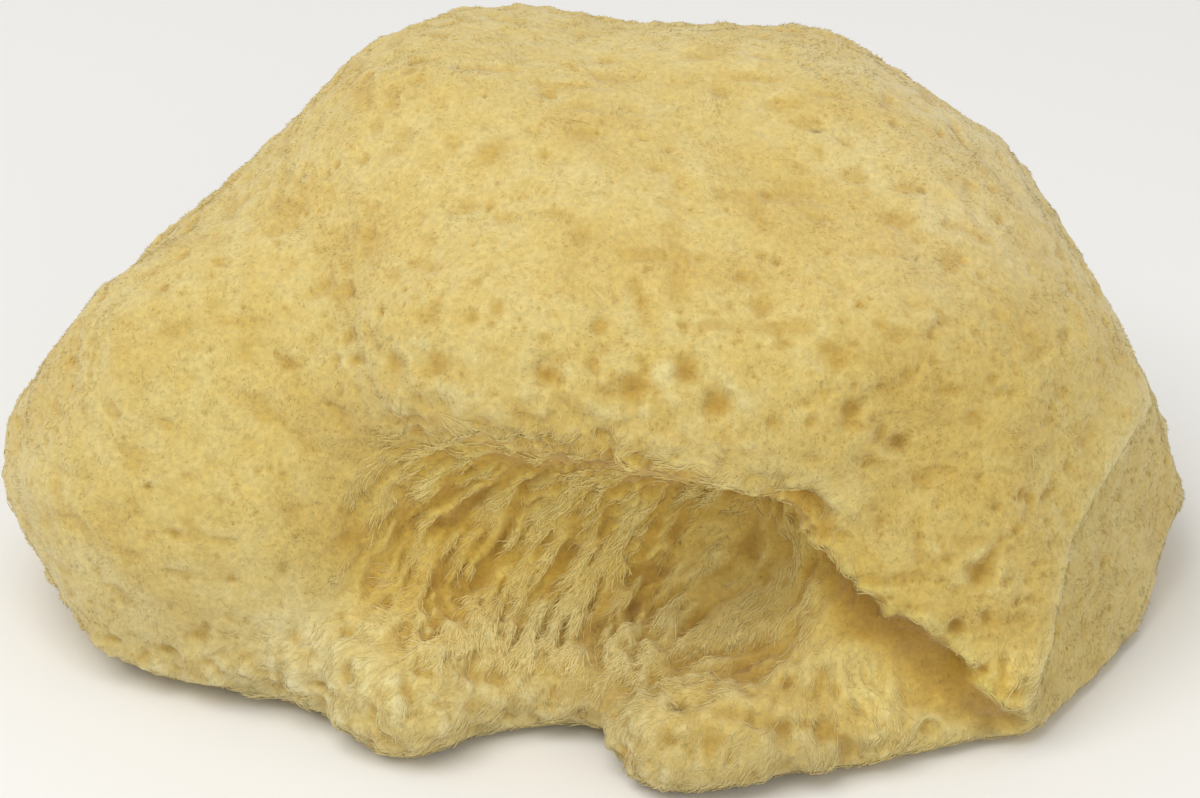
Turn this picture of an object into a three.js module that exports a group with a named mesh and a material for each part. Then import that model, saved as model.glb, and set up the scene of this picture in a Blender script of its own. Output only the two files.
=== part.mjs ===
// A natural bath sponge, dried: one grown piece, cut off flat where it stood on the sea bed.
// Millimetres, +Z up. The front, with the hollow and its lip, looks along -Y.
import * as THREE from "three";
import { mergeVertices } from "three/addons/utils/BufferGeometryUtils.js";

// Driving dimensions.
const CELL = 3.5; // size of the cells that the skin is drawn through
const LOBE_BLEND = 14; // how far neighbouring lobes grow into each other
const LIP_BLEND = 7; // the same, where the lip meets the body
const EDGE_ROUNDING = 7; // of the rim round the cut base
const SWELL = 0.8; // height of the slow waves that growth leaves all over
const SWELL_LENGTH = 9; // of those waves, from crest to crest over two pi
const WELD = 0.001; // points nearer than this are one point
const DRY_SPONGIN = 0xe0cb86;
const ROOM = [-84, -63, 84, 63, 84]; // the space that holds it all: left, front, right, back, top

// An ellipsoid: its centre and its three half sizes.
const lobe = (x, y, z, across, deep, high) => ({
  centre: new THREE.Vector3(x, y, z),
  half: new THREE.Vector3(across, deep, high),
});

const BODY = [
  lobe(-6, 10, 22, 46, 42, 51), // crown, left half
  lobe(24.5, 8, 20, 44.5, 42, 49), // crown, right half
  lobe(-35, 10, 34, 23, 24, 22), // left slope
  lobe(-40, 2, 21, 32, 32, 25), // left shoulder
  lobe(-37, -4, 4, 21, 25, 12), // left skirt
  lobe(46, 1, 14, 30.2, 33, 23), // right shoulder
  lobe(50, -4, 5, 22, 29, 13), // right skirt
  lobe(8, -20, 42, 34, 20, 15), // brow over the hollow
  lobe(43, -14, 8, 26, 24, 34), // curtain at the right of the hollow
];
const LIP = [
  lobe(-12, -21, 3, 26, 15, 9), // lip under the hollow, left half
  lobe(24, -26, 4, 28, 19, 8), // lip, right half
  lobe(-21, -34.5, 4, 7, 8, 9), // left toe
  lobe(12, -43, 3, 11, 9, 9), // right toe
];
const HOLLOWS = [
  { ...lobe(-10, -38, 21, 24, 16, 18), rounding: 12 }, // left of the hollow, with a soft rim
  { ...lobe(13, -41, 20, 18, 23, 16), rounding: 4 }, // right of the hollow, under the brow
  { ...lobe(34, -44, 6, 17, 10, 12), rounding: 4 }, // its tail, behind the foot of the curtain
];
// Flat places: the way each one faces, its distance from the origin, and how round its rim is.
const FACETS = [
  { facing: new THREE.Vector3(0.82, -0.53, 0.22).normalize(), distance: 66.5, rounding: 2 }, // right side
  { facing: new THREE.Vector3(-0.66, 0.38, 0.65).normalize(), distance: 69, rounding: 10 }, // left slope
];

const scratch = new THREE.Vector3();
const scratchTwice = new THREE.Vector3();

// Distance to an ellipsoid's skin, negative inside.
function toEllipsoid(point, { centre, half }) {
  scratch.copy(point).sub(centre).divide(half);
  const once = scratch.length();
  const twice = scratchTwice.copy(scratch).divide(half).length();
  if (once === 0) return -Math.min(half.x, half.y, half.z);
  return (once * (once - 1)) / twice;
}

// The smaller of two distances, rounded where they are alike.
function joined(a, b, rounding) {
  const near = Math.max(rounding - Math.abs(a - b), 0) / rounding;
  return Math.min(a, b) - (near * near * rounding) / 4;
}

const cut = (a, b, rounding) => -joined(-a, b, rounding);

const blend = (lobes, point, rounding) =>
  lobes.map((l) => toEllipsoid(point, l)).reduce((a, b) => joined(a, b, rounding));

// Slow waves, bent out of step with one another so that none of them repeats in view.
function swell({ x, y, z }) {
  const [p, q, r] = [x / SWELL_LENGTH, y / SWELL_LENGTH, z / SWELL_LENGTH];
  const along = Math.sin(p + 1.7 * Math.sin(q));
  const through = Math.sin(q + 1.3 * Math.sin(r + 1));
  const upward = Math.sin(r + 1.1 * p);
  return SWELL * (along + through + upward);
}

// Distance to the sponge's skin, negative inside.
function toSponge(point) {
  let skin = blend(BODY, point, LOBE_BLEND);
  for (const hollow of HOLLOWS) skin = cut(skin, toEllipsoid(point, hollow), hollow.rounding);
  skin = joined(skin, blend(LIP, point, LIP_BLEND), LIP_BLEND);
  for (const { facing, distance, rounding } of FACETS)
    skin = cut(skin, distance - point.dot(facing), rounding);
  return cut(skin + swell(point), point.z, EDGE_ROUNDING);
}

// Draws the surface where a distance is zero: one point in each cell that it passes through, and
// one face across each cell edge that it crosses.
function drawSkin(distance, box, cell) {
  const count = box.getSize(new THREE.Vector3()).divideScalar(cell).ceil();
  const at = (i, j, k) => i + (count.x + 1) * (j + (count.y + 1) * k);
  const place = (i, j, k) => new THREE.Vector3(i, j, k).multiplyScalar(cell).add(box.min);
  const values = new Float32Array((count.x + 1) * (count.y + 1) * (count.z + 1));
  for (let k = 0; k <= count.z; k++)
    for (let j = 0; j <= count.y; j++)
      for (let i = 0; i <= count.x; i++) values[at(i, j, k)] = distance(place(i, j, k));

  const corners = [];
  for (let c = 0; c < 8; c++) corners.push([c & 1, (c >> 1) & 1, (c >> 2) & 1]);
  const points = [];
  const pointOf = new Map();
  for (let k = 0; k < count.z; k++)
    for (let j = 0; j < count.y; j++)
      for (let i = 0; i < count.x; i++) {
        const sum = new THREE.Vector3();
        let crossings = 0;
        for (let a = 0; a < 8; a++)
          for (const step of [1, 2, 4]) {
            if (a & step) continue;
            const [from, to] = [corners[a], corners[a | step]];
            const d0 = values[at(i + from[0], j + from[1], k + from[2])];
            const d1 = values[at(i + to[0], j + to[1], k + to[2])];
            if (d0 < 0 === d1 < 0) continue;
            const start = place(i + from[0], j + from[1], k + from[2]);
            const end = place(i + to[0], j + to[1], k + to[2]);
            sum.add(start.lerp(end, d0 / (d0 - d1)));
            crossings++;
          }
        if (!crossings) continue;
        pointOf.set(at(i, j, k), points.length);
        points.push(sum.divideScalar(crossings));
      }

  const faces = [];
  const addQuad = (a, b, c, d) => {
    const acrossAC = points[a].distanceTo(points[c]) < points[b].distanceTo(points[d]);
    faces.push(...(acrossAC ? [a, b, c, a, c, d] : [b, c, d, b, d, a]));
  };
  const around = [
    [[0, 1, 0], [0, 0, 1]],
    [[0, 0, 1], [1, 0, 0]],
    [[1, 0, 0], [0, 1, 0]],
  ];
  for (let k = 1; k < count.z; k++)
    for (let j = 1; j < count.y; j++)
      for (let i = 1; i < count.x; i++)
        for (let axis = 0; axis < 3; axis++) {
          const step = [0, 0, 0];
          step[axis] = 1;
          const inside = values[at(i, j, k)] < 0;
          if (inside === values[at(i + step[0], j + step[1], k + step[2])] < 0) continue;
          const [u, v] = around[axis];
          const ring = [[1, 1], [0, 1], [0, 0], [1, 0]].map(([p, q]) =>
            pointOf.get(at(i - p * u[0] - q * v[0], j - p * u[1] - q * v[1], k - p * u[2] - q * v[2])),
          );
          addQuad(...(inside ? ring : ring.reverse()));
        }

  const geometry = new THREE.BufferGeometry().setFromPoints(points);
  geometry.setIndex(faces);
  return geometry;
}

const [left, front, right, back, top] = ROOM;
const underBase = -1.5 * CELL; // half a cell off the grid, so that the cut base is drawn too
const room = new THREE.Box3(new THREE.Vector3(left, front, underBase), new THREE.Vector3(right, back, top));
const geometry = mergeVertices(drawSkin(toSponge, room, CELL), WELD);
geometry.computeBoundingBox();
const middle = geometry.boundingBox.getCenter(new THREE.Vector3());
geometry.translate(-middle.x, -middle.y, -geometry.boundingBox.min.z);
geometry.computeVertexNormals();

const spongin = new THREE.MeshStandardMaterial({ color: DRY_SPONGIN, roughness: 1, metalness: 0 });
const sponge = new THREE.Mesh(geometry, spongin);
sponge.name = "sponge";

const part = new THREE.Group();
part.add(sponge);
export default part;
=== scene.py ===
"""A dried natural sea sponge: its grown body, the short fibre that covers it, and a plain stage."""

import math

import bpy
import numpy as np
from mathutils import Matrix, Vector
from mathutils.kdtree import KDTree


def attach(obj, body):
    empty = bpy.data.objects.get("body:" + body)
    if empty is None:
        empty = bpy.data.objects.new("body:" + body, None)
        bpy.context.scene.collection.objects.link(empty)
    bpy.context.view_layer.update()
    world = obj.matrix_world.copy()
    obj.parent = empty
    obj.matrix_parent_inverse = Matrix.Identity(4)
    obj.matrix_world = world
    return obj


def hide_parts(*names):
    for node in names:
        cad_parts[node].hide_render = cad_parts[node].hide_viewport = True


bl_info = {
    "name": "Sea Sponge",
    "version": (1, 0, 0),
    "blender": (4, 5, 0),
    "location": "3D View > Sidebar > Sponge",
    "description": "Grows a dried natural sea sponge round its packed solid",
    "category": "Object",
}

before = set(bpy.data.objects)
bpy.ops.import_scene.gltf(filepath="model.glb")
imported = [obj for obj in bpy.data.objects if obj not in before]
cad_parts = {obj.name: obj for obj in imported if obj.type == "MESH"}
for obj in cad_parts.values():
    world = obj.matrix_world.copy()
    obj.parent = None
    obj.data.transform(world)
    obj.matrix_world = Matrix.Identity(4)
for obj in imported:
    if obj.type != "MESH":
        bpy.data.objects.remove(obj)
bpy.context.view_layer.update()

MM = 0.001
NODE = "sponge"
BODY_NAME = "sponge_body"


# ---------------------------------------------------------------- settings


class SpongeBodySettings(bpy.types.PropertyGroup):
    """Sizes and colours of the grown body."""

    cell: bpy.props.FloatProperty(
        name="Skin cell", description="Size of the cells that the skin is remade from",
        default=0.56 * MM, min=0.3 * MM, unit="LENGTH")
    triangles: bpy.props.IntProperty(
        name="Triangles", description="Most triangles that the body keeps",
        default=194000, min=10000)
    swell: bpy.props.FloatProperty(
        name="Swell", description="Height of the broad lumps", default=0.55 * MM, unit="LENGTH")
    tuft_height: bpy.props.FloatProperty(
        name="Tuft height", description="Height of the combed tufts in the hollow",
        default=1.2 * MM, unit="LENGTH")
    pore_count: bpy.props.IntProperty(
        name="Pores", description="Number of small pores all over", default=1500, min=0)
    open_pores: bpy.props.IntProperty(
        name="Open pores", description="Number of larger pores on the back and the sides",
        default=620, min=0)
    fuzz_room: bpy.props.FloatProperty(
        name="Room for fuzz", description="How far the skin draws back under its fibre",
        default=0.35 * MM, unit="LENGTH")
    # Besides the spongin's own cream, the crest colour paints the highlight on small crests, ridges and the
    # flat side's edge.
    crest: bpy.props.StringProperty(
        name="Crest colour", description="Colour of fibre that stands proud, as sRGB hex", default="E0D197")
    fibre: bpy.props.StringProperty(
        name="Fibre colour", description="Colour of the open surface, as sRGB hex", default="D7BE72")
    # The ochre is partly the spongin's own colour and partly painted shade in dents and low places.
    ochre: bpy.props.StringProperty(
        name="Ochre", description="Colour of shallow dents, as sRGB hex", default="C6A450")
    # The deep colour is painted shade at the bottom of pores, slots, creases and the hollow.
    deep: bpy.props.StringProperty(
        name="Deep colour", description="Colour at the bottom of the pores, as sRGB hex", default="A58040")
    speck: bpy.props.StringProperty(
        name="Speck colour", description="Colour of caught grains, as sRGB hex", default="5C4A30")


class SpongeFuzzSettings(bpy.types.PropertyGroup):
    """Sizes of the fibre on the skin."""

    pieces: bpy.props.IntProperty(
        name="Fuzz pieces", description="Number of pieces that the fuzz is shared between",
        default=4, min=1)
    per_piece: bpy.props.IntProperty(
        name="Fibres in a piece", description="Short fibres in each piece", default=49000, min=100)
    length: bpy.props.FloatProperty(
        name="Fuzz length", description="Usual length of a short fibre", default=0.7 * MM, unit="LENGTH")
    width: bpy.props.FloatProperty(
        name="Fuzz width", description="Width of a short fibre at its root",
        default=0.18 * MM, unit="LENGTH")
    strands: bpy.props.IntProperty(
        name="Strands", description="Number of longer fibres in the wisps", default=7000, min=0)
    strand_length: bpy.props.FloatProperty(
        name="Strand length", description="Usual length of a lying fibre", default=2.4 * MM, unit="LENGTH")
    strand_width: bpy.props.FloatProperty(
        name="Strand width", description="Width of a lying fibre", default=0.14 * MM, unit="LENGTH")


class SpongeStageSettings(bpy.types.PropertyGroup):
    """The floor, the lights and the camera."""

    floor: bpy.props.StringProperty(
        name="Floor colour", description="Colour of the floor, as sRGB hex", default="F4F3F0")
    sky: bpy.props.FloatProperty(
        name="Sky light", description="Strength of the even light from all round", default=0.58, min=0.0)
    key: bpy.props.FloatProperty(
        name="Key light", description="Power of the soft light above, in watts", default=3.45, min=0.0)
    fill: bpy.props.FloatProperty(
        name="Fill light", description="Power of the soft light in front, in watts", default=1.2, min=0.0)
    elevation: bpy.props.FloatProperty(
        name="Camera elevation", description="How far the camera looks down",
        default=math.radians(30.0), subtype="ANGLE", unit="ROTATION")
    distance: bpy.props.FloatProperty(
        name="Camera distance", description="From the camera to its target", default=0.5, unit="LENGTH")
    target: bpy.props.FloatProperty(
        name="Target height", description="Height of the point that the camera looks at",
        default=26.5 * MM, unit="LENGTH")
    lens: bpy.props.FloatProperty(
        name="Lens", description="Focal length in millimetres", default=120.0, min=10.0)


# ---------------------------------------------------------------- small tools


def linear(hex_colour):
    """The linear colour of an sRGB hex value."""
    parts = [int(hex_colour[i:i + 2], 16) / 255.0 for i in (0, 2, 4)]
    return np.array([p / 12.92 if p <= 0.04045 else ((p + 0.055) / 1.055) ** 2.4 for p in parts])


def add_node(tree, kind, links=(), **settings):
    """Adds a node, sets its properties and inputs, and links (output, input name) pairs to it."""
    node = tree.nodes.new(kind)
    for name, value in settings.items():
        if hasattr(node, name):
            setattr(node, name, value)
        else:
            node.inputs[name.replace("_", " ")].default_value = value
    for output, name in links:
        tree.links.new(output, node.inputs[name])
    return node


def select_only(obj):
    """Leaves one object selected and active."""
    bpy.ops.object.select_all(action="DESELECT")
    obj.select_set(True)
    bpy.context.view_layer.objects.active = obj


def apply_modifier(obj, kind, **settings):
    """Adds a modifier with its settings and applies it."""
    select_only(obj)
    modifier = obj.modifiers.new(kind.title(), kind)
    for name, value in settings.items():
        setattr(modifier, name, value)
    bpy.ops.object.modifier_apply(modifier=modifier.name)


def mix(a, b, amount):
    """Goes from a to b, row by row."""
    return a + (b - a) * amount[:, None]


def step(low, high, value):
    """Rises smoothly from 0 at low to 1 at high."""
    part = np.clip((value - low) / (high - low), 0.0, 1.0)
    return part * part * (3.0 - 2.0 * part)


def unit(vectors):
    """The same directions, one long."""
    return vectors / np.maximum(np.linalg.norm(vectors, axis=1, keepdims=True), 1e-12)


def flatten(vectors, normals):
    """The part of each vector that lies along the skin, one long."""
    return unit(vectors - normals * np.sum(vectors * normals, axis=1, keepdims=True))


class SoftNoise:
    """Smooth random lumps from -1 to 1, the same at every run."""

    GRID = 48

    def __init__(self, seed):
        draw = np.random.default_rng(seed)
        self.values = draw.uniform(-1.0, 1.0, (self.GRID,) * 3)

    def __call__(self, points, size):
        """The noise at these points, with lumps about this size."""
        place = points / size
        low = np.floor(place).astype(np.int64)
        part = place - low
        part = part * part * (3.0 - 2.0 * part)
        total = np.zeros(len(points))
        for corner in np.ndindex(2, 2, 2):
            at = (low + corner) % self.GRID
            weight = np.prod(np.where(corner, part, 1.0 - part), axis=1)
            total += weight * self.values[at[:, 0], at[:, 1], at[:, 2]]
        return total


# ---------------------------------------------------------------- how the sponge grew
# All of this is in millimetres, in the frame of the solid: +Z up, the hollow looks along -Y. A number added
# to the points shifts a noise, so that one noise serves for several patterns.

LUMPS, DENTS, GRAIN, DRIFT, PATCHES, TURNS = (SoftNoise(seed) for seed in range(6))

# The larger openings on the front: across, height, radius, depth.
OSCULA = [
    (-0.1, 55.4, 1.3, 1.0), (-18.8, 51, 2.0, 1.1), (-6.1, 51, 1.8, 1.8), (-1, 52, 1.0, 0.9),
    (3.6, 50, 2.5, 1.7), (9.7, 51.4, 2.0, 1.8), (13.7, 48.2, 1.8, 1.9), (18.7, 56, 1.5, 0.8),
    (27, 51.3, 1.9, 1.0), (28.8, 46.3, 2.1, 1.8), (20, 45.5, 1.0, 0.8), (24, 45.4, 1.0, 0.8),
    (-24.2, 49.3, 1.7, 0.8), (-29.3, 49.6, 1.5, 0.6), (35, 41, 1.4, 1.7), (42, 18.5, 1.3, 2.0),
    (46, 18.6, 0.9, 1.2), (33, 22, 0.9, 1.1), (51, 31, 1.0, 0.8), (-37.2, 44.4, 1.3, 0.6),
    (-48, 11, 1.3, 1.2), (-36, 5, 1.3, 1.4), (22, 9, 1.5, 1.2), (3, 8, 1.3, 1.2), (4, 58, 1.3, 0.7),
    (-12, 57, 1.2, 0.6),
]
# Slots and long soft dents: the deeper end, the other end, half width, depth, and tint, how much painted
# shade darkens them.
SLOTS = [
    ((45, -38, 24), (48, -36, 27.5), 1.6, 1.3, 0.8), ((37.4, -38, 27), (37, -37, 31.5), 1.5, 0.6, 0.5),
    ((51, -37, 20), (51, -37, 23), 1.2, 0.6, 0.5), ((26, -34, 53), (31, -34, 51), 1.7, 0.5, 0.6),
    ((38, -30, 52), (43, -26, 53), 1.6, 0.3, 0.4), ((49, -31, 29), (53, -27, 30), 1.4, 0.7, 0.5),
    ((9, -30, 58), (9, -8, 68), 3.0, 0.6, 0.45), ((-24, -9, 66), (-30, -10, 65), 2.2, 0.3, 0.45),
    ((-13, -12, 67), (-10, -10, 68), 2.2, 0.35, 0.6), ((-2, -23, 62), (-4, -30, 59), 2.2, 0.4, 0.45),
    ((22, -15, 64), (26, -18, 62), 2.4, 0.3, 0.55), ((-49, -18, 47), (-56, -18, 45), 1.8, 0.3, 0.45),
    ((-42, -21, 45), (-41, -22, 44), 1.9, 0.4, 0.5), ((5, -30, 57), (6, -33, 53), 2.2, 0.4, 0.45),
    ((30, -22, 58), (38, -20, 57), 2.0, 0.3, 0.35), ((-30, -18, 61), (-36, -18, 58), 2.0, 0.3, 0.4),
    ((-9.4, -35.7, 39), (-8.5, -35.7, 43), 1.9, 1.6, 0.95),
    ((-22.1, -31.3, 37), (-21, -31.3, 42), 2.1, 1.2, 0.85),
    ((-46, -16.6, 48.8), (-43, -16.6, 49.2), 1.2, 0.3, 0.45),
    ((-37, -22.7, 44.4), (-35, -22.7, 44.8), 1.2, 0.3, 0.45),
    ((9, -22, 19.5), (11, -22.5, 25), 1.8, 1.2, 1.0),
    ((4, -27, 12.5), (9.5, -22.5, 18.5), 1.8, 1.2, 1.0),
    ((-2, -31, 11.5), (3.5, -24, 17), 1.7, 1.0, 0.95), ((-6, -27, 15.5), (-3, -25, 20), 1.6, 1.0, 0.9),
    ((-9.5, -26.5, 27), (-9.5, -27.5, 33), 2.0, 1.0, 0.95),
    ((-18.5, -26.7, 16.5), (-17, -25.5, 21), 1.6, 0.9, 0.85),
    ((-30, -27.8, 23), (-26, -26, 24), 2.2, 0.6, 0.75),
    ((-24, -25.3, 22), (-21, -25, 27), 1.8, 0.8, 0.85),
    ((-12.6, -24.6, 19.5), (-11, -24.6, 23), 1.8, 0.8, 0.85),
    ((17, -24, 19), (19.5, -24.7, 26.5), 2.4, 0.8, 1.0),
    ((23, -38.3, 34.5), (25.5, -37.8, 33), 2.4, 2.4, 1.0),
]
# Ridges, raised a little and painted pale as a highlight: one end, the other end, half width.
RIDGES = [
    ((-18.7, -35.1, 47.2), (-14, -36, 47.6), 1.4), ((-1, -39, 46.6), (5, -40, 45.8), 1.8),
    ((-21.4, -32.6, 49), (-21, -32, 52.5), 1.2), ((8, -40.5, 43.5), (19, -40.5, 40), 3.2),
    ((-9, -37, 49), (-8.5, -36, 53), 1.0), ((8.5, -38.5, 48), (7, -37, 52), 1.0),
    ((14, -38, 51), (17, -38, 47), 1.0), ((24, -40, 38), (30, -39, 35), 2.0),
    ((-15, -34, 53), (-14, -35, 50), 1.0), ((13.8, -23, 18), (13.8, -23.5, 28), 1.0),
    ((-7, -25, 25.5), (0.5, -27.5, 30), 1.0), ((3.5, -23.5, 21), (5, -23.5, 26), 1.1),
    ((-21, -25.4, 27.5), (-19, -25.4, 31), 1.0), ((-17.5, -30, 36), (-15.5, -31, 39), 1.0),
    ((-9, -31, 10), (-8, -29.5, 14), 2.2), ((-15, -31, 11), (-14, -29.5, 15.5), 0.9),
    ((-11.5, -30, 13), (-11, -28, 17.5), 0.8), ((-18, -30, 13), (-17, -28, 18), 0.8),
]
# Broad swellings on the left slope: place, radius, height.
BULGES = [((-41, 5, 56), 16.0, 1.3), ((-28, 12, 67), 10.0, 0.9)]
# The edge between the front and the flat right side, the way that side faces, and how far out it is.
SIDE_EDGE = [
    (67, -9, 31), (63.5, -16, 30), (59.5, -23, 27), (56, -28, 23), (54.5, -31, 18), (53.5, -34, 13),
    (51, -38, 8),
]
SIDE_FACING = (0.83, -0.55, 0.11)
SIDE_REACH = 64.3
# More flat places on the right: the way each faces, and how far out it is.
FLATS = [
    ((0.95, 0.03, 0.32), 74.2), ((0.88, 0.12, 0.46), 73.6), ((0.93, -0.3, -0.22), 66.1),
    ((0.54, 0.32, 0.78), 75.0),
]
# The crease between the curtain and the lip.
FOLD = [
    (27, -36, 25), (29.5, -38.5, 22.5), (33, -40, 20.5), (36, -40, 18), (39, -40, 15.5), (42, -40, 12.5),
    (45, -40, 9.5),
]
# The edge of the brow, over the hollow.
BROW = [
    (-23, -33, 45), (-15, -36.5, 45), (-5, -39, 45), (2, -40, 44), (11, -41, 42), (18, -40, 39),
    (27, -38, 35),
]
# Dark grains caught in the fibre: place and radius.
SPECKS = [((20, -3, 69), 0.5), ((26, -6, 67), 0.4), ((8, 14, 71), 0.4), ((-36, 20, 56), 0.4)]
# The way to someone in front who looks a little down on the sponge.
TOWARDS_FRONT = (0.0, -0.87, 0.5)

# Sizes, heights and depths of what grows on the skin.
SWELL_SIZE, LUMP_SIZE = 9.0, 4.3
DENT_SIZE, DENT_DEPTH = 2.3, 0.32
TUFT_SIZE, FINE_TUFT_SIZE = 1.7, 0.85
KNOB_SIZE, KNOB_DEPTH = 2.6, 0.7
FURROW_SIZE, FURROW_DEPTH = 2.0, 0.55
LINE_SIZE, LINE_HEIGHT = 0.95, 0.14
FOLD_DEPTH, OVERHANG = 2.5, 0.6
RIDGE_HEIGHT = 0.3
RIM_HEIGHT, RIM_WIDTH = 1.6, 6.0
# The middle of the hollow and its half sizes.
HOLLOW_MIDDLE = np.array([-1.0, -33.0, 26.0])
HOLLOW_HALF = np.array([33.0, 15.0, 20.0])
# How often the skin is smoothed to find its small hollows and crests: it evens out the last few millimetres.
SMOOTHING_ROUNDS = 14
# What is pressed flat moves in by no more than this.
MOST_PRESSED, MOST_FLATTENED = 5.0, 4.0
PORE_SEED = 11
# How strongly each kind of low place is tinted towards ochre, partly its own colour and partly painted
# shade; in the fold it is painted shadow.
DENT_TINT, FURROW_TINT, LINE_TINT, FOLD_PAINTED_SHADOW = 0.42, 0.35, 0.22, 1.1


def line_runs(line):
    """The start of each straight run of a line, and its way to the next place."""
    places = np.array(line, float)
    return zip(places[:-1], places[1:] - places[:-1])


def off_run(points, start, run):
    """How far along a straight run each point is, from 0 to 1, and its way from the run."""
    part = np.clip((points - start) @ run / (run @ run), 0.0, 1.0)
    return part, points - (start + part[:, None] * run)


def off_line(points, line, facing=(0.0, 0.0, 1.0)):
    """How far each point is from a line through these places, and how far to the left of it for someone who
    goes along it with this way up."""
    far = np.full(len(points), np.inf)
    beside = np.zeros(len(points))
    for start, run in line_runs(line):
        _, off = off_run(points, start, run)
        reach = np.linalg.norm(off, axis=1)
        nearer = reach < far
        far[nearer] = reach[nearer]
        beside[nearer] = (off @ unit(np.cross([facing], [run]))[0])[nearer]
    return far, beside


def along_line(points, line, width):
    """How near each point is to a line: 1 on it, and less than half at this width."""
    return np.exp(-(off_line(points, line)[0] / width) ** 2)


def hollow_share(points):
    """How far a point is inside the front hollow: 1 in its middle and 0 outside it."""
    reach = (points - HOLLOW_MIDDLE) / HOLLOW_HALF
    return 1.0 - step(0.72, 1.12, np.linalg.norm(reach, axis=1))


def lip_share(points):
    """How far a point is on the lip under the hollow."""
    across, along, height = points.T
    low_front = (1.0 - step(-34.0, -27.0, along)) * (1.0 - step(12.0, 17.0, height))
    return low_front * (1.0 - step(44.0, 52.0, np.abs(across - 4.0)))


def pore_share(points):
    """Where small pores are thick on the skin: the brow band and the curtain at the right."""
    across, along, height = points.T
    brow = np.exp(-((height - 50.0) / 7.0) ** 2) * (1.0 - step(-28.0, -20.0, along))
    curtain = step(27.0, 32.0, across) * (1.0 - step(-34.0, -27.0, along))
    return np.maximum(brow, 0.8 * curtain)


def side_share(points, normals):
    """How far a point is on the flat right side, past its edge."""
    _, beside = off_line(points, SIDE_EDGE, SIDE_FACING)
    return step(-1.2, 2.0, beside) * step(0.6, 0.8, normals @ unit(np.array([SIDE_FACING]))[0])


def tuft_lean(points):
    """How far to the left the tufts hang for each step down: aslant in the left half, steep in the right."""
    return 0.75 - 0.6 * step(6.0, 24.0, points[:, 0])


def tufts(points):
    """Tufts of fibre that hang side by side, about 2 mm wide and three times as long: 0 between them and
    1 on top."""
    lean = tuft_lean(points) + 0.2 * DRIFT(points, 15.0)
    across = points[:, 0] - lean * (points[:, 2] - HOLLOW_MIDDLE[2]) + 1.2 * DRIFT(points + 40.0, 6.0)
    along = points[:, 2] + lean * points[:, 0]
    combed = np.stack([across, 0.5 * points[:, 1], 0.28 * along], axis=1)
    return step(-0.65, 0.65, DENTS(combed, TUFT_SIZE) + 0.85 * DENTS(combed + 20.0, FINE_TUFT_SIZE))


def fold(points):
    """The crease where the curtain hangs over the lip, steep under the curtain and easy towards the lip, and
    the overhang above it."""
    deepest = np.zeros(len(points))
    overhang = np.zeros(len(points))
    for start, run in line_runs(FOLD):
        _, off = off_run(points, start, run)
        near = 1.0 - step(5.0, 11.0, np.linalg.norm(off, axis=1))
        outward = off @ unit(np.array([[run[2], 0.0, -run[0]]]))[0] + 0.7 * GRAIN(points + 60.0, 1.8)
        deepest = np.maximum(deepest, near * step(-1.2, 0.8, outward) * (1.0 - step(1.2, 8.0, outward)))
        overhang = np.maximum(overhang, near * step(-6.0, -1.8, outward) * (1.0 - step(-1.6, -0.2, outward)))
    return deepest, overhang


def smoothed(points, edges, rounds):
    """The points after so many rounds of moving each to the middle of its neighbours."""
    count = np.bincount(edges.ravel(), minlength=len(points))[:, None]
    for _ in range(rounds):
        total = np.stack([
            np.bincount(edges[:, 0], points[edges[:, 1], axis], len(points))
            + np.bincount(edges[:, 1], points[edges[:, 0], axis], len(points)) for axis in range(3)], axis=1)
        points = 0.5 * (points + total / count)
    return points


def nearest_finder(points):
    """A tree that finds which of these points are near a place."""
    tree = KDTree(len(points))
    for index, point in enumerate(points):
        tree.insert(point, index)
    tree.balance()
    return tree


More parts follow.
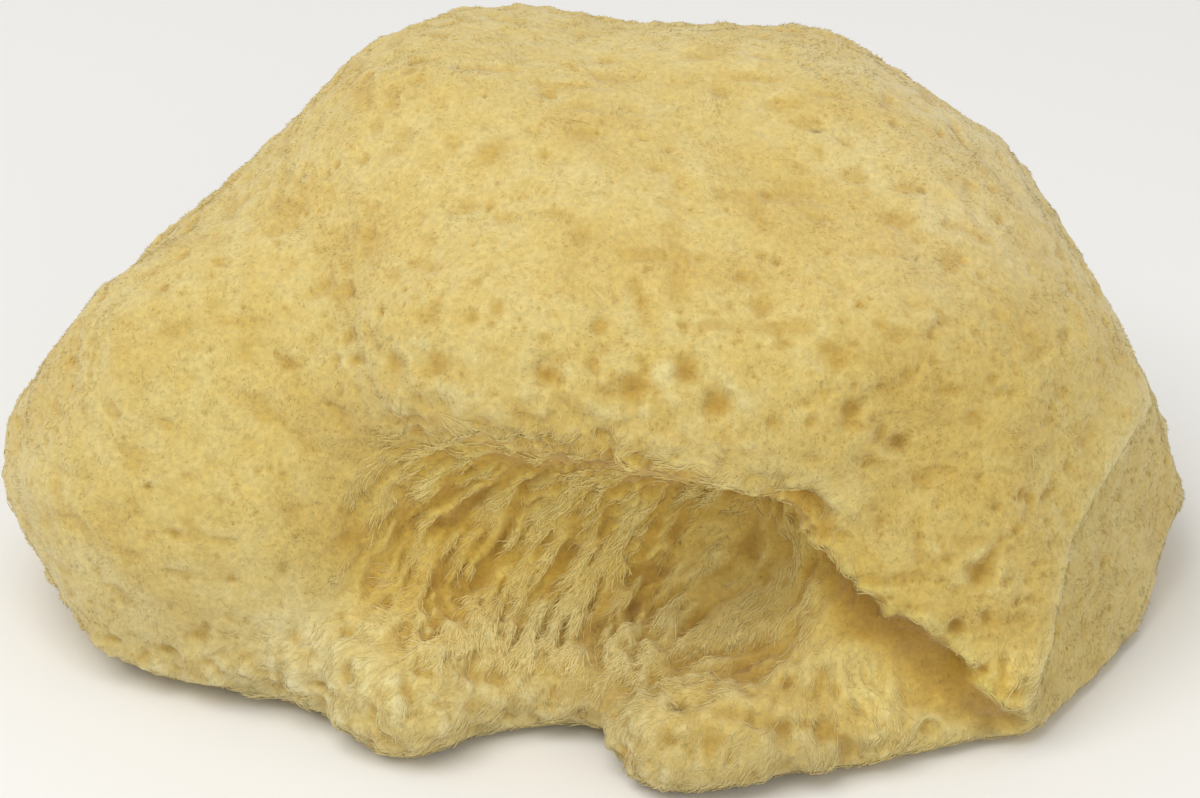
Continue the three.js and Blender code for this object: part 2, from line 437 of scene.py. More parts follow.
class Skin:
    """The skin as it grows: how far each point is lifted, and how deep it lies in a dent, pore or gap, a
    depth that also carries painted shade and painted highlight.
    """

    def __init__(self, points, normals, settings):
        self.points = points
        self.normals = normals
        self.settings = settings
        self.off_base = step(0.6, 3.0, points[:, 2])
        self.hollow = hollow_share(points)
        self.side = side_share(points, normals)
        facing_away = 1.0 - step(-0.2, 0.4, normals @ TOWARDS_FRONT)
        self.away = facing_away * self.off_base * (1.0 - 0.75 * self.side)
        # Height sheared across, so that the dents and furrows run aslant.
        self.slanted = points + np.outer(points[:, 2], (0.6, 0.0, 0.0))
        self.lift = np.zeros(len(points))
        self.recess_and_painted_light = np.zeros(len(points))

    def press_flat(self):
        """How far the broad shape moves out or in: swellings, the rim of the flat side, and flat places."""
        points, normals = self.points, self.normals
        push = sum(height * np.exp(-(np.linalg.norm(points - place, axis=1) / radius) ** 2)
                   for place, radius, height in BULGES)
        push += RIM_HEIGHT * along_line(points, SIDE_EDGE, RIM_WIDTH)
        facing = unit(np.array([SIDE_FACING]))[0]
        over = (points + normals * push[:, None]) @ facing - SIDE_REACH
        push -= np.clip(over, 0.0, MOST_PRESSED) * self.side
        for facing, distance in FLATS:
            facing = unit(np.array([facing]))[0]
            over = (points + normals * push[:, None]) @ facing - distance
            push -= np.clip(over, 0.0, MOST_FLATTENED) / np.clip(normals @ facing, 0.4, 1.0)
        return push

    def felt(self):
        """Slow swells, a felted grain and slanted dents all over."""
        points = self.points
        swell = self.settings.swell / MM
        self.lift += swell * (LUMPS(points, SWELL_SIZE) + 0.7 * LUMPS(points + 70.0, LUMP_SIZE))
        self.lift += 0.16 * GRAIN(points, 2.0) + 0.1 * GRAIN(points + 30.0, 1.1)
        dents = step(0.15, 0.75, DENTS(self.slanted * (0.7, 1.0, 1.3), DENT_SIZE))
        self.lift -= DENT_DEPTH * dents + self.settings.fuzz_room / MM
        # Painted shade, with the spongin's ochre, in the dents.
        self.recess_and_painted_light += DENT_TINT * dents

    def comb_hollow(self):
        """Tufts that hang in the hollow, and the shade between them."""
        points, hollow = self.points, self.hollow
        height = tufts(points)
        longer_low = 1.5 - 0.5 * step(14.0, 24.0, points[:, 2])
        self.lift += hollow * self.settings.tuft_height / MM * (height - 0.6) * longer_low
        # The shade here is painted into the colour: low in the hollow and between the tufts, less at its top
        # left.
        shade = hollow * step(9.0, 18.0, points[:, 2] - 8.0 * (height - 0.4))
        shade *= 1.0 - 0.45 * step(33.0, 40.0, points[:, 2]) * step(4.0, 12.0, -points[:, 0])
        self.recess_and_painted_light *= 1.0 - 0.5 * hollow
        self.recess_and_painted_light += shade * (0.2 + 0.62 * (1.0 - height) + 0.28 * PATCHES(points, 8.0))

    def knot_lip(self):
        """Knobs and combed fibre on the lip, and a rough underside at the left."""
        points = self.points
        lip = lip_share(points)
        knobs = step(0.15, 0.6, DENTS(points * (1.0, 1.0, 0.7) + 15.0, KNOB_SIZE))
        combed = DENTS(points * (1.0, 0.6, 0.3) + 60.0, 1.3)
        self.lift += lip * (0.75 * GRAIN(points + 9.0, 3.1) - KNOB_DEPTH * knobs + 0.45 * combed)
        # Painted shade, with the spongin's ochre, in the knobs and between the combed fibre.
        self.recess_and_painted_light += lip * (0.35 * knobs + 0.3 * step(0.0, 0.6, -combed))
        low_left = 1.0 - step(6.0, 13.0, points[:, 2])
        low_left *= step(22.0, 34.0, -points[:, 0])
        low_left *= 1.0 - step(0.0, 12.0, points[:, 1])
        self.lift += low_left * (0.9 * GRAIN(points + 19.0, 2.6) + 0.6 * GRAIN(points + 29.0, 1.4))

    def furrow_back(self):
        """A calmer flat side, and a rougher back with furrows."""
        points, away = self.points, self.away
        self.lift *= 1.0 - 0.25 * self.side
        self.recess_and_painted_light *= 1.0 - 0.3 * self.side
        furrows = step(0.05, 0.7, DENTS(self.slanted * (0.9, 0.9, 0.5) + 110.0, FURROW_SIZE))
        rough = 0.5 * GRAIN(points + 35.0, 2.2) + 0.35 * GRAIN(points + 65.0, 1.2)
        self.lift += away * (rough - FURROW_DEPTH * furrows)
        # Painted shade, with the spongin's ochre, in the furrows.
        self.recess_and_painted_light += away * FURROW_TINT * furrows

    def fray_edges(self):
        """A ragged brow, fine lines across the curtain, and the fold under it."""
        points = self.points
        brow = along_line(points, BROW, 4.0)
        self.lift += brow * (0.8 * GRAIN(points + 45.0, 2.4) + 0.3 * GRAIN(points + 55.0, 1.3))
        curtain = step(26.0, 32.0, points[:, 0]) * step(18.0, 30.0, points[:, 2])
        curtain *= (1.0 - self.away) * (1.0 - self.side)
        lines = GRAIN(points * (0.3, 0.3, 1.0) + np.outer(points[:, 0], (0.0, 0.0, 0.15)), LINE_SIZE)
        self.lift += LINE_HEIGHT * curtain * lines
        # Painted shade, with the spongin's ochre, between the fine lines.
        self.recess_and_painted_light += LINE_TINT * curtain * step(0.0, 0.8, -lines)
        crease, overhang = fold(points)
        self.lift += OVERHANG * overhang - FOLD_DEPTH * crease
        # Painted shadow in the crease under the curtain.
        self.recess_and_painted_light = np.maximum(self.recess_and_painted_light, FOLD_PAINTED_SHADOW * crease)

    def press_pore(self, tree, centre, radius, depth, tint, tall=1.0, bottom=0.0):
        """Presses a pore with soft, uneven sides into the skin, flat over this share of its radius."""
        near = tree.find_range(centre, radius * 1.8 * tall)
        if not near:
            return
        at = np.array([index for _, index, _ in near])
        off = (self.points[at] - centre) * (1.0, 1.0, 1.0 / tall)
        uneven = 1.0 + 0.45 * GRAIN(self.points[at] + 80.0, 1.4)
        reach = np.linalg.norm(off, axis=1) / radius * uneven
        bowl = 1.0 - step(bottom, 1.15, reach)
        self.lift[at] -= depth * bowl
        # Painted shade in the pore, as much as its tint.
        self.recess_and_painted_light[at] = np.maximum(self.recess_and_painted_light[at], bowl * tint)

    def press_pores(self):
        """The placed openings of the front, small pores all over, and open pores in clusters at the back."""
        points, settings = self.points, self.settings
        tree = nearest_finder(points)
        looks_forward = self.normals[:, 1] < -0.15
        for across, height, radius, depth in OSCULA:
            off = np.hypot(points[:, 0] - across, points[:, 2] - height)
            centre = points[np.argmin(np.where(looks_forward, off, np.inf))]
            self.press_pore(tree, centre, 1.1 * radius, 0.65 * depth, 0.45 + 0.18 * depth, 1.2, 0.15)

        draw = np.random.default_rng(PORE_SEED)
        chance = 0.3 + pore_share(points) + 0.4 * step(0.0, 0.7, PATCHES(points, 12.0))
        chance *= self.off_base
        chance *= (1.0 - 0.7 * self.hollow) * (1.0 - 0.3 * self.side)
        chosen = draw.choice(len(points), settings.pore_count, replace=False, p=chance / chance.sum())
        sizes = draw.uniform(0.0, 1.0, len(chosen))
        depths = draw.uniform(0.0, 1.0, len(chosen))
        for centre, size, deep in zip(points[chosen], sizes, depths):
            radius = 0.6 + 0.8 * size ** 3
            self.press_pore(tree, centre, radius, 0.12 + 0.45 * deep * size, 0.3 + 0.35 * deep)

        chance = self.away * (0.1 + step(-0.2, 0.6, PATCHES(points + 35.0, 10.0)) ** 2)
        chosen = draw.choice(len(points), settings.open_pores, replace=False, p=chance / chance.sum())
        sizes = draw.uniform(0.0, 1.0, len(chosen))
        stretches = draw.uniform(0.7, 1.8, len(chosen))
        for centre, size, tall in zip(points[chosen], sizes, stretches):
            radius = 0.6 + 1.9 * size ** 4
            self.press_pore(tree, centre, radius, 0.35 + 2.0 * size ** 3, 0.4 + 0.45 * size, tall)

    def cut_slots(self):
        """The slots and long dents, deeper at one end."""
        points, normals = self.points, self.normals
        for start, end, half_width, depth, tint in SLOTS:
            start = np.array(start, float)
            part, off = off_run(points, start, np.array(end, float) - start)
            # Measured mostly along the skin, so that a slot placed a little above or below it still shows.
            off -= normals * np.sum(off * normals, axis=1, keepdims=True) * 0.8
            wide = half_width * (1.0 + 0.45 * GRAIN(points, 2.5) - 0.3 * part)
            bowl = (1.0 - step(0.0, 1.2, np.linalg.norm(off, axis=1) / wide)) * (1.0 - 0.5 * part)
            self.lift -= depth * bowl
            # Painted shade in the slot, as much as its tint.
            self.recess_and_painted_light = np.maximum(self.recess_and_painted_light, bowl * tint)

    def ridges(self):
        """Where the ridges stand that are raised a little and painted pale as a highlight."""
        ridge = np.zeros(len(self.points))
        for start, end, half_width in RIDGES:
            away_from = off_line(self.points, (start, end))[0] * (1.0 + 0.3 * GRAIN(self.points, 1.8))
            ridge = np.maximum(ridge, np.exp(-(away_from / half_width) ** 2))
        return ridge


def shape_skin(points, normals, edges, settings):
    """Moves the skin: returns the new points, and how deep each lies in a dent, pore or gap, from -1 for
    what stands proud to 1, with painted shade added in low places and painted highlight on crests, ridges
    and the flat side's edge."""
    skin = Skin(points, normals, settings)
    push = skin.press_flat()
    skin.felt()
    skin.comb_hollow()
    skin.knot_lip()
    skin.furrow_back()
    skin.fray_edges()
    skin.press_pores()
    skin.cut_slots()
    ridge = skin.ridges()
    skin.lift += RIDGE_HEIGHT * ridge

    lift = (skin.lift + push) * skin.off_base * step(-0.95, -0.5, normals[:, 2])
    moved = points + normals * lift[:, None]
    moved[:, 2] = np.maximum(moved[:, 2], 0.0)
    # Painted shade in small hollows and painted highlight on small crests, by how far they lie from a
    # smoother skin.
    sunk = np.sum((smoothed(moved, edges, SMOOTHING_ROUNDS) - moved) * normals, axis=1) * skin.off_base
    recess_and_painted_light = np.maximum(skin.recess_and_painted_light, 0.6 * step(0.02, 0.35, sunk))
    recess_and_painted_light = recess_and_painted_light - 0.6 * step(0.04, 0.45, -sunk) * (1.0 - skin.recess_and_painted_light)
    # Painted highlight along the edge of the flat side and on the ridges.
    edge = along_line(points, SIDE_EDGE, 2.4)
    return moved, np.clip(recess_and_painted_light - 0.7 * edge - 0.6 * ridge, -1.0, 1.0)


def region_tints(points, normals):
    """Each region that differs from the rest: how far a point is in it, and how much more red, green and
    blue its colour has there; some of these are painted light and shade, as marked."""
    across, along, height = points.T
    front = step(4.0, 30.0, -along) * (1.0 - step(50.0, 60.0, height))
    curtain = front * step(24.0, 32.0, across)
    toes = (1.0 - step(5.0, 12.0, height)) * step(30.0, 38.0, -along)
    toes *= 0.5 + 0.5 * step(-10.0, 0.0, across)
    shoulder = step(20.0, 45.0, across) * step(44.0, 56.0, height)
    soil = (1.0 - step(1.0, 7.0, height)) * step(0.1, 0.7, PATCHES(points + 25.0, 3.0))
    lip = lip_share(points)
    low_left = (1.0 - step(14.0, 26.0, height)) * step(26.0, 40.0, -across) * front
    return (
        (front, (-0.05, -0.05, -0.12)),
        (curtain, (-0.03, -0.06, -0.16)),
        (toes, (-0.12, -0.12, -0.06)),
        # Painted light: the hollow above its floor lighter and warmer, as if lit by light bounced inside it.
        (hollow_share(points) * step(12.0, 18.0, height), (0.15, 0.14, -0.1)),
        (shoulder, (0.03, 0.05, 0.22)),
        # Painted shade on the flat right side, which faces away from the key light.
        (side_share(points, normals), (-0.09, -0.09, -0.1)),
        (soil, (-0.3, -0.3, -0.3)),
        (lip * (1.0 - step(0.0, 12.0, across)), (0.09, 0.15, 0.38)),
        (lip * step(26.0, 34.0, across), (0.22, 0.3, 0.5)),
        # Painted shadow along the crease under the curtain.
        (along_line(points, FOLD, 3.0), (-0.09, -0.12, -0.42)),
        (low_left, (-0.04, 0.0, 0.22)),
        (along_line(points, BROW, 9.0), (-0.04, -0.07, -0.13)),
    )


def skin_tone(points, normals, recess_and_painted_light, settings):
    """The colour of the spongin: cream where it stands proud, partly a painted highlight, ochre in patches,
    and painted shade going ochre and then deep brown in low places.
    """
    crest, fibre, ochre, deep = (linear(getattr(settings, n)) for n in ("crest", "fibre", "ochre", "deep"))
    stretched = (points + np.outer(points[:, 0], (0.0, 0.0, 0.5))) * (0.6, 1.0, 1.1)
    patch = PATCHES(stretched, 9.0) + 0.6 * PATCHES(stretched + 50.0, 4.0)
    # Where the depth is below nought the cream is painted highlight.
    proud = 0.35 * step(-0.4, 0.8, GRAIN(points, 1.6) - 0.6 * patch) + 0.65 * step(0.0, 0.7, -recess_and_painted_light)
    tone = mix(np.tile(fibre, (len(points), 1)), crest, np.clip(proud, 0.0, 1.0))
    tone = mix(tone, ochre, 0.34 * step(0.0, 1.0, patch))
    # Painted shade: low places go ochre and then deep brown, by how deep they lie.
    tone = mix(tone, ochre, step(0.05, 0.75, recess_and_painted_light))
    tone = mix(tone, deep, 0.7 * step(0.55, 1.05, recess_and_painted_light))
    for share, tint in region_tints(points, normals):
        tone *= 1.0 + np.outer(share, tint)
    for place, radius in SPECKS:
        near = 1.0 - step(0.7, 1.1, np.linalg.norm(points - place, axis=1) / radius)
        tone = mix(tone, linear(settings.speck), 0.8 * near)
    return tone


def fibre_run(points, normals):
    """Which way the fibre lies on the skin: down and to the left in the hollow, wandering elsewhere."""
    wander = np.stack([TURNS(points + shift, 9.0) for shift in (0.0, 33.0, 66.0)], axis=1)
    down = np.tile((-0.2, -0.1, -0.35), (len(points), 1))
    combed = np.stack([-tuft_lean(points), np.full(len(points), -0.3), np.full(len(points), -1.0)], axis=1)
    share = np.maximum(hollow_share(points), 0.6 * lip_share(points))
    return flatten(mix(wander + down, combed + 0.3 * wander, share), normals)


def wisp_share(points):
    """Where wisps of long fibre hang: on the tufts in the hollow, along the brow and by the curtain."""
    share = hollow_share(points) * (0.08 + 1.2 * tufts(points) ** 3) + 0.25 * lip_share(points)
    share += 0.1 * along_line(points, BROW, 2.5)
    return share + 0.2 * along_line(points, FOLD, 2.0) + 0.0005


# ---------------------------------------------------------------- materials


def body_material():
    """Spongin, the horn-like fibre that a bath sponge is made of, felted into a skin: matt, with light
    that soaks a millimetre or two in, a faint sheen and a fine tangled grain."""
    material = bpy.data.materials.new("spongin_felted_skin")
    material.use_nodes = True
    tree = material.node_tree
    tree.nodes.clear()
    place = add_node(tree, "ShaderNodeTexCoord")
    tone = add_node(tree, "ShaderNodeAttribute", attribute_name="tone")
    # The fibres lie a few hundredths of a millimetre apart, too fine to show, so the grain is drawn as
    # coarse as it needs to show: 0.7 mm and its halves.
    grain = add_node(tree, "ShaderNodeTexNoise", [(place.outputs["Object"], "Vector")],
                     Scale=1.0 / (0.7 * MM), Detail=3.0, Roughness=0.6)
    shade = add_node(tree, "ShaderNodeMapRange", [(grain.outputs["Fac"], "Value")],
                     From_Min=0.3, From_Max=0.7, To_Min=0.86, To_Max=1.1)
    colour = add_node(tree, "ShaderNodeMix", data_type="RGBA", blend_type="MULTIPLY")
    colour.inputs[0].default_value = 1.0
    tree.links.new(tone.outputs["Color"], colour.inputs[6])
    tree.links.new(shade.outputs["Result"], colour.inputs[7])
    bump = add_node(tree, "ShaderNodeBump", [(grain.outputs["Fac"], "Height")],
                    Strength=0.7, Distance=0.3 * MM)
    links = [(colour.outputs[2], "Base Color"), (bump.outputs["Normal"], "Normal")]
    shader = add_node(tree, "ShaderNodeBsdfPrincipled", links, Roughness=0.95, Subsurface_Weight=0.25,
                      Subsurface_Scale=1.0 * MM, Sheen_Weight=0.25, Sheen_Roughness=0.6)
    shader.inputs["Subsurface Radius"].default_value = (2.0, 1.3, 0.6)
    shader.inputs["Specular IOR Level"].default_value = 0.15
    add_node(tree, "ShaderNodeOutputMaterial", [(shader.outputs["BSDF"], "Surface")])
    return material


def fuzz_material():
    """Loose ends of spongin fibre: pale, dry and matt, with only a faint sheen."""
    material = bpy.data.materials.new("spongin_loose_fibre")
    material.use_nodes = True
    tree = material.node_tree
    tree.nodes.clear()
    tone = add_node(tree, "ShaderNodeAttribute", attribute_name="tone")
    shader = add_node(tree, "ShaderNodeBsdfPrincipled", [(tone.outputs["Color"], "Base Color")],
                      Roughness=0.9, Sheen_Weight=0.1, Sheen_Roughness=0.6)
    shader.inputs["Specular IOR Level"].default_value = 0.1
    add_node(tree, "ShaderNodeOutputMaterial", [(shader.outputs["BSDF"], "Surface")])
    return material


def floor_material(hex_colour):
    """A matt painted board: plain and pale."""
    material = bpy.data.materials.new("painted_board_matt")
    material.use_nodes = True
    shader = material.node_tree.nodes["Principled BSDF"]
    shader.inputs["Base Color"].default_value = (*linear(hex_colour), 1.0)
    shader.inputs["Roughness"].default_value = 0.9
    return material


# ---------------------------------------------------------------- meshes


def mesh_points(mesh):
    """The mesh's points and their normals, in millimetres."""
    points = np.empty(len(mesh.vertices) * 3)
    mesh.vertices.foreach_get("co", points)
    normals = np.empty(len(mesh.vertices) * 3)
    mesh.vertices.foreach_get("normal", normals)
    return points.reshape(-1, 3) / MM, unit(normals.reshape(-1, 3))


def store_tone(mesh, tone):
    """Keeps a colour for each point."""
    layer = mesh.attributes.new("tone", "FLOAT_COLOR", "POINT")
    layer.data.foreach_set("color", np.hstack([tone, np.ones((len(tone), 1))]).ravel())


def mesh_object(name, points, faces, tone, material):
    """A new object from arrays of points in millimetres, triangles and colours."""
    mesh = bpy.data.meshes.new(name)
    mesh.vertices.add(len(points))
    mesh.vertices.foreach_set("co", (points * MM).ravel())
    mesh.loops.add(faces.size)
    mesh.loops.foreach_set("vertex_index", faces.ravel())
    mesh.polygons.add(len(faces))
    mesh.polygons.foreach_set("loop_start", np.arange(0, faces.size, 3))
    mesh.polygons.foreach_set("use_smooth", np.ones(len(faces), bool))
    mesh.update(calc_edges=True)
    mesh.validate()
    store_tone(mesh, tone)
    mesh.materials.append(material)
    obj = bpy.data.objects.new(name, mesh)
    bpy.context.collection.objects.link(obj)
    return obj


def finish_piece(obj):
    """Makes a piece part of the sponge."""
    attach(obj, "root")


def scatter(body, count, seed, share=None):
    """Points spread over the body, off its cut base, evenly or as thick as their share of each place says:
    places, normals, colours and depths, and the random draw to go on with."""
    mesh = body.data
    mesh.calc_loop_triangles()
    corners = np.empty(len(mesh.loop_triangles) * 3, np.int64)
    mesh.loop_triangles.foreach_get("vertices", corners)
    corners = corners.reshape(-1, 3)
    points, normals = mesh_points(mesh)
    tone = np.empty(len(points) * 4)
    mesh.attributes["tone"].data.foreach_get("color", tone)
    tone = tone.reshape(-1, 4)[:, :3]
    recess_and_painted_light = np.empty(len(points))
    mesh.attributes["recess_and_painted_light"].data.foreach_get("value", recess_and_painted_light)
    a, b, c = (points[corners[:, i]] for i in range(3))
    area = np.linalg.norm(np.cross(b - a, c - a), axis=1)
    area *= step(0.2, 0.8, points[corners, 2].mean(axis=1))
    if share is not None:
        depth = np.clip(recess_and_painted_light[corners].mean(axis=1), 0.0, 1.0)
        area *= share(points[corners].mean(axis=1)) * (1.02 - depth) ** 3
    draw = np.random.default_rng(seed)
    chosen = corners[draw.choice(len(corners), count, p=area / area.sum())]
    weights = draw.dirichlet((1.0, 1.0, 1.0), count)

    def blend(values):
        """The value at each chosen place, from its triangle's three corners."""
        return np.einsum("ij,ij...->i...", weights, values[chosen])

    return blend(points), unit(blend(normals)), blend(tone), blend(recess_and_painted_light), draw


# The corners of a fibre, which is three-sided, and the faces of a short one: a thin spike.
CORNERS = np.radians((0, 120, 240))
FUZZ_FACES = [(0, 1, 3), (1, 2, 3), (2, 0, 3), (2, 1, 0)]
# A strand is laid in so many paces.
PACES = 4
FUZZ_SEED, STRAND_SEED = 20, 40
# How deep a short fibre is rooted, and the least height of each kind over the floor, in millimetres.
ROOTED = 0.12
LOWEST_FUZZ, LOWEST_STRAND = 0.02, 0.2
# No fibre is lighter than this, so that none looks white.
LIGHTEST = 0.95


def strand_faces():
    """The faces of a strand: a point, three rings of three corners, and a point."""
    faces = [(0, 2, 1), (0, 3, 2), (0, 1, 3)]
    for ring in (1, 4):
        for i in range(3):
            a, b = ring + i, ring + (i + 1) % 3
            faces += [(a, b, b + 3), (a, b + 3, a + 3)]
    return faces + [(7, 8, 10), (8, 9, 10), (9, 7, 10)]


def fibre_object(name, points, faces, colours, material):
    """A piece of the sponge that holds many fibres alike, from each one's points and colours. They cast no
    shadow, because dry spongin lets the light through."""
    count, size = points.shape[:2]
    faces = np.array(faces)[None] + size * np.arange(count)[:, None, None]
    colours = np.clip(colours.reshape(-1, 3), 0.0, LIGHTEST)
    piece = mesh_object(name, points.reshape(-1, 3), faces.reshape(-1, 3), colours, material)
    piece.visible_shadow = False
    finish_piece(piece)


# ---------------------------------------------------------------- operators


class SPONGE_OT_body(bpy.types.Operator):
    """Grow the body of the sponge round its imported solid"""

    bl_idname = "sponge.body"
    bl_label = "Grow Body"

    def execute(self, context):
        settings = context.scene.sponge_body
        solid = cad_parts[NODE]
        body = solid.copy()
        body.data = solid.data.copy()
        body.name = body.data.name = BODY_NAME
        body.parent = None
        context.collection.objects.link(body)
        select_only(body)
        bpy.ops.object.mode_set(mode="EDIT")
        bpy.ops.mesh.select_all(action="SELECT")
        bpy.ops.mesh.remove_doubles(threshold=0.01 * MM)
        bpy.ops.object.mode_set(mode="OBJECT")
        apply_modifier(body, "SUBSURF", levels=2)
        apply_modifier(body, "REMESH", mode="VOXEL", voxel_size=settings.cell)
        apply_modifier(body, "SMOOTH", factor=0.5, iterations=6)

        points, normals = mesh_points(body.data)
        edges = np.empty(len(body.data.edges) * 2, np.int64)
        body.data.edges.foreach_get("vertices", edges)
        moved, recess_and_painted_light = shape_skin(points, normals, edges.reshape(-1, 2), settings)
        body.data.vertices.foreach_set("co", (moved * MM).ravel())
        layer = body.data.attributes.new("recess_and_painted_light", "FLOAT", "POINT")
        layer.data.foreach_set("value", recess_and_painted_light)
        store_tone(body.data, skin_tone(points, normals, recess_and_painted_light, settings))
        body.data.update()
        triangles = 2 * len(body.data.polygons)
        apply_modifier(body, "TRIANGULATE")
        apply_modifier(body, "DECIMATE", ratio=min(1.0, settings.triangles / triangles))

        select_only(body)
        bpy.ops.object.shade_smooth()
        body.data.materials.clear()
        body.data.materials.append(body_material())
        finish_piece(body)
        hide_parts(NODE)
        return {"FINISHED"}


class SPONGE_OT_fuzz(bpy.types.Operator):
    """Cover the body with short fibre"""

    bl_idname = "sponge.fuzz"
    bl_label = "Grow Fuzz"

    def execute(self, context):
        settings = context.scene.sponge_fuzz
        body = bpy.data.objects[BODY_NAME]
        crest = linear(context.scene.sponge_body.crest)
        material = fuzz_material()
        for number in range(settings.pieces):
            roots, normals, tone, recess_and_painted_light, draw = scatter(body, settings.per_piece, FUZZ_SEED + number)
            count = len(roots)
            run = fibre_run(roots, normals)
            side = np.cross(normals, run)
            depth = np.clip(recess_and_painted_light, 0.0, 1.0)
            turn = (1.6 * TURNS(roots + 90.0, 2.2) + draw.normal(0.0, 0.35, count))[:, None]
            lean = 0.74 + 0.25 * TURNS(roots + 150.0, 1.9) + draw.uniform(-0.1, 0.1, count)
            lean = np.clip(lean, 0.3, 0.95)[:, None]
            lie = run * np.cos(turn) + side * np.sin(turn)
            aim = unit(normals * (1.0 - lean) + lie * lean)
            length = settings.length / MM * draw.uniform(0.5, 1.25, count)[:, None]
            length = length * (1.0 - 0.35 * depth[:, None])
            half = settings.width / MM * draw.uniform(0.6, 1.2, count)[:, None] / 2.0
            across = flatten(draw.normal(0.0, 1.0, (count, 3)), aim)
            beyond = np.cross(aim, across)
            start = roots - normals * ROOTED
            ring = [start + half * (across * math.cos(a) + beyond * math.sin(a)) for a in CORNERS]
            points = np.stack([*ring, start + aim * length], axis=1)
            points[:, :, 2] = np.maximum(points[:, :, 2], LOWEST_FUZZ)
            light = 0.5 + 0.7 * TURNS(roots + 210.0, 1.3) + draw.normal(0.0, 0.2, count)
            light = np.clip(light, 0.0, 1.0)
            tips = mix(tone, crest, 0.4 * light * (1.0 - 0.6 * depth))
            colours = np.stack([tone, tone, tone, tips], axis=1)
            fibre_object(f"sponge_fuzz_{number + 1}", points, FUZZ_FACES, colours, material)
        return {"FINISHED"}


class SPONGE_OT_strands(bpy.types.Operator):
    """Lay longer fibres along the skin"""

    bl_idname = "sponge.strands"
    bl_label = "Lay Strands"

    def execute(self, context):
        settings = context.scene.sponge_fuzz
        body = bpy.data.objects[BODY_NAME]
        crest = linear(context.scene.sponge_body.crest)
        points, skin_normals = mesh_points(body.data)
        tree = nearest_finder(points)
        roots, normals, tone, recess_and_painted_light, draw = scatter(body, settings.strands, STRAND_SEED, wisp_share)
        count = len(roots)
        turn = (0.5 * TURNS(roots + 120.0, 3.0) + draw.normal(0.0, 0.25, count))[:, None]
        rise = 0.4 * draw.uniform(0.0, 1.0, (count, 1)) ** 2
        pace = settings.strand_length / MM * draw.uniform(0.5, 1.5, count)[:, None] / PACES
        line = [roots]
        place, normal = roots, normals
        for number in range(PACES):
            run = fibre_run(place, normal)
            aim = flatten(run * np.cos(turn) + np.cross(normal, run) * np.sin(turn), normal)
            ahead = place + aim * pace
            at = np.array([tree.find(spot)[1] for spot in ahead])
            normal = unit(skin_normals[at] + normal)
            gap = np.sum((ahead - points[at]) * skin_normals[at], axis=1, keepdims=True)
            place = ahead - skin_normals[at] * np.clip(gap, -1.0, 1.0) * 0.9
            line.append(place + normal * (0.1 + rise * ((number + 1) / PACES) ** 2))
            turn = turn + draw.normal(0.0, 0.15, (count, 1))
        line = np.stack(line, axis=1)
        line[:, :, 2] = np.maximum(line[:, :, 2], LOWEST_STRAND)
        along = unit(line[:, -1] - line[:, 0])
        across = flatten(normals, along)
        beyond = np.cross(along, across)
        half = settings.strand_width / MM * draw.uniform(0.6, 1.3, count)[:, None, None] / 2.0
        spokes = [across * math.cos(a) + beyond * math.sin(a) for a in CORNERS]
        rings = [line[:, 1:PACES] + half * spoke[:, None] for spoke in spokes]
        middle = np.stack(rings, axis=2).reshape(count, -1, 3)
        strand_points = np.concatenate([line[:, :1], middle, line[:, PACES:]], axis=1)
        light = draw.uniform(0.35, 1.0, count)
        # In the hollow the strands are painted lighter, as painted light that keeps them pale in its shade.
        colour = mix(tone, crest, 0.7 * light) * (1.0 + 0.18 * hollow_share(roots)[:, None])
        colours = np.repeat(colour[:, None], strand_points.shape[1], axis=1)
        material = bpy.data.materials["spongin_loose_fibre"]
        fibre_object("sponge_strands", strand_points, strand_faces(), colours, material)
        return {"FINISHED"}


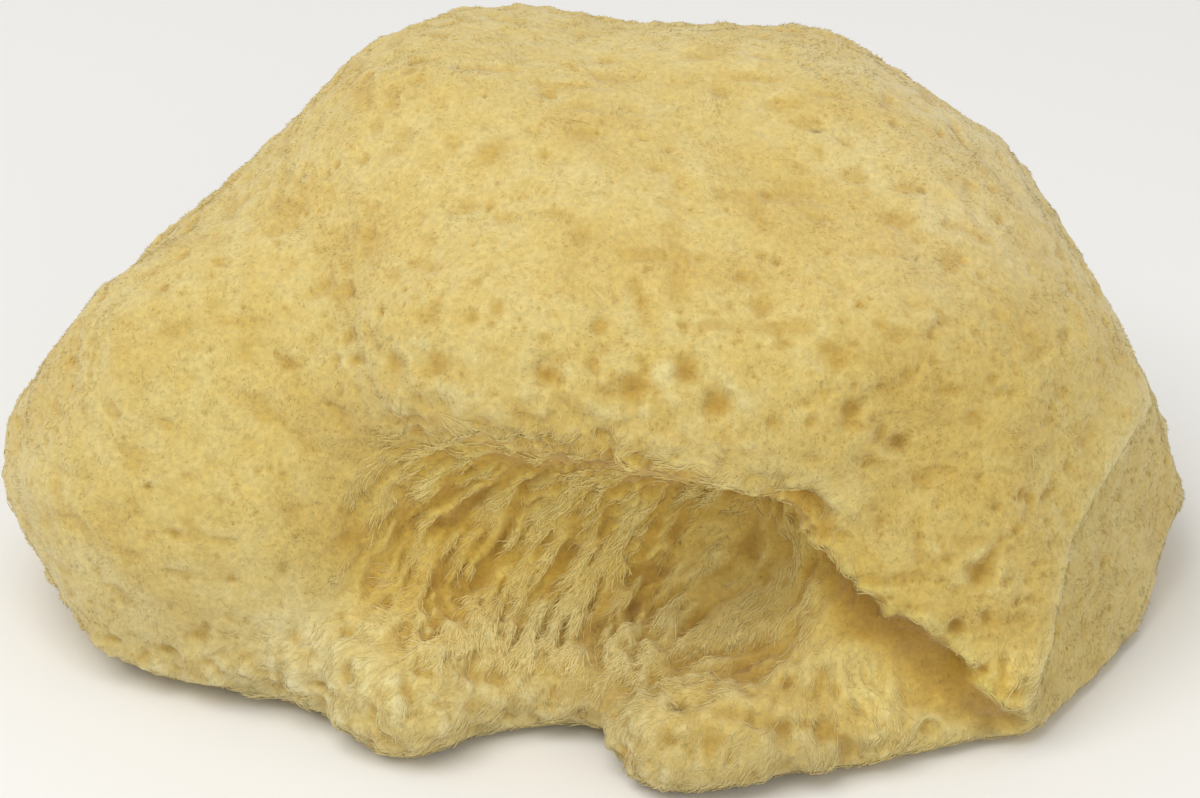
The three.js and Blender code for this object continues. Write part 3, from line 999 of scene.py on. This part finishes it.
class SPONGE_OT_stage(bpy.types.Operator):
    """Set the floor, the lights and the camera"""

    bl_idname = "sponge.stage"
    bl_label = "Set Stage"

    def execute(self, context):
        scene = context.scene
        settings = scene.sponge_stage
        bpy.ops.object.select_all(action="DESELECT")
        bpy.ops.mesh.primitive_plane_add(size=6.0, location=(0.0, 0.0, -0.02 * MM))
        floor = context.object
        floor.name = "floor"
        floor.data.materials.append(floor_material(settings.floor))

        world = bpy.data.worlds.new("plain_sky")
        world.use_nodes = True
        world.node_tree.nodes["Background"].inputs["Color"].default_value = (1.0, 1.0, 1.0, 1.0)
        world.node_tree.nodes["Background"].inputs["Strength"].default_value = settings.sky
        scene.world = world

        target = np.array([0.0, 0.0, settings.target])
        for name, place, size, power in (
            ("key_softbox", (-0.25, -0.25, 0.75), 0.6, settings.key),
            ("fill_softbox", (0.35, -0.75, 0.35), 0.6, settings.fill),
        ):
            light = bpy.data.lights.new(name, "AREA")
            light.size, light.energy = size, power
            self.aim(name, light, np.array(place), target)

        lens = bpy.data.cameras.new("camera")
        lens.lens, lens.sensor_width = settings.lens, 36.0
        lens.clip_start = 0.01
        back = np.array([0.0, -math.cos(settings.elevation), math.sin(settings.elevation)])
        scene.camera = self.aim("camera", lens, target + back * settings.distance, target)
        scene.view_settings.view_transform = "Standard"
        return {"FINISHED"}

    def aim(self, name, data, place, target):
        """Adds a light or camera that looks at the target."""
        obj = bpy.data.objects.new(name, data)
        bpy.context.collection.objects.link(obj)
        obj.location = place
        obj.rotation_euler = Vector(target - place).to_track_quat("-Z", "Y").to_euler()
        return obj


class SPONGE_PT_panel(bpy.types.Panel):
    """Lists the sponge's steps and settings"""

    bl_idname = "SPONGE_PT_panel"
    bl_label = "Sea Sponge"
    bl_space_type = "VIEW_3D"
    bl_region_type = "UI"
    bl_category = "Sponge"

    def draw(self, context):
        for group in GROUPS:
            settings = getattr(context.scene, group)
            box = self.layout.box()
            for name in settings.__annotations__:
                box.prop(settings, name)
        for step_class in STEPS:
            self.layout.operator(step_class.bl_idname)


STEPS = (SPONGE_OT_body, SPONGE_OT_fuzz, SPONGE_OT_strands, SPONGE_OT_stage)
GROUPS = {
    "sponge_body": SpongeBodySettings,
    "sponge_fuzz": SpongeFuzzSettings,
    "sponge_stage": SpongeStageSettings,
}


def register():
    for name, group in GROUPS.items():
        bpy.utils.register_class(group)
        setattr(bpy.types.Scene, name, bpy.props.PointerProperty(type=group))
    for cls in (*STEPS, SPONGE_PT_panel):
        bpy.utils.register_class(cls)


def unregister():
    for cls in (SPONGE_PT_panel, *reversed(STEPS)):
        bpy.utils.unregister_class(cls)
    for name, group in GROUPS.items():
        delattr(bpy.types.Scene, name)
        bpy.utils.unregister_class(group)


def main():
    register()
    bpy.ops.sponge.body()
    bpy.ops.sponge.fuzz()
    bpy.ops.sponge.strands()
    bpy.ops.sponge.stage()


if __name__ == "__main__":
    main()
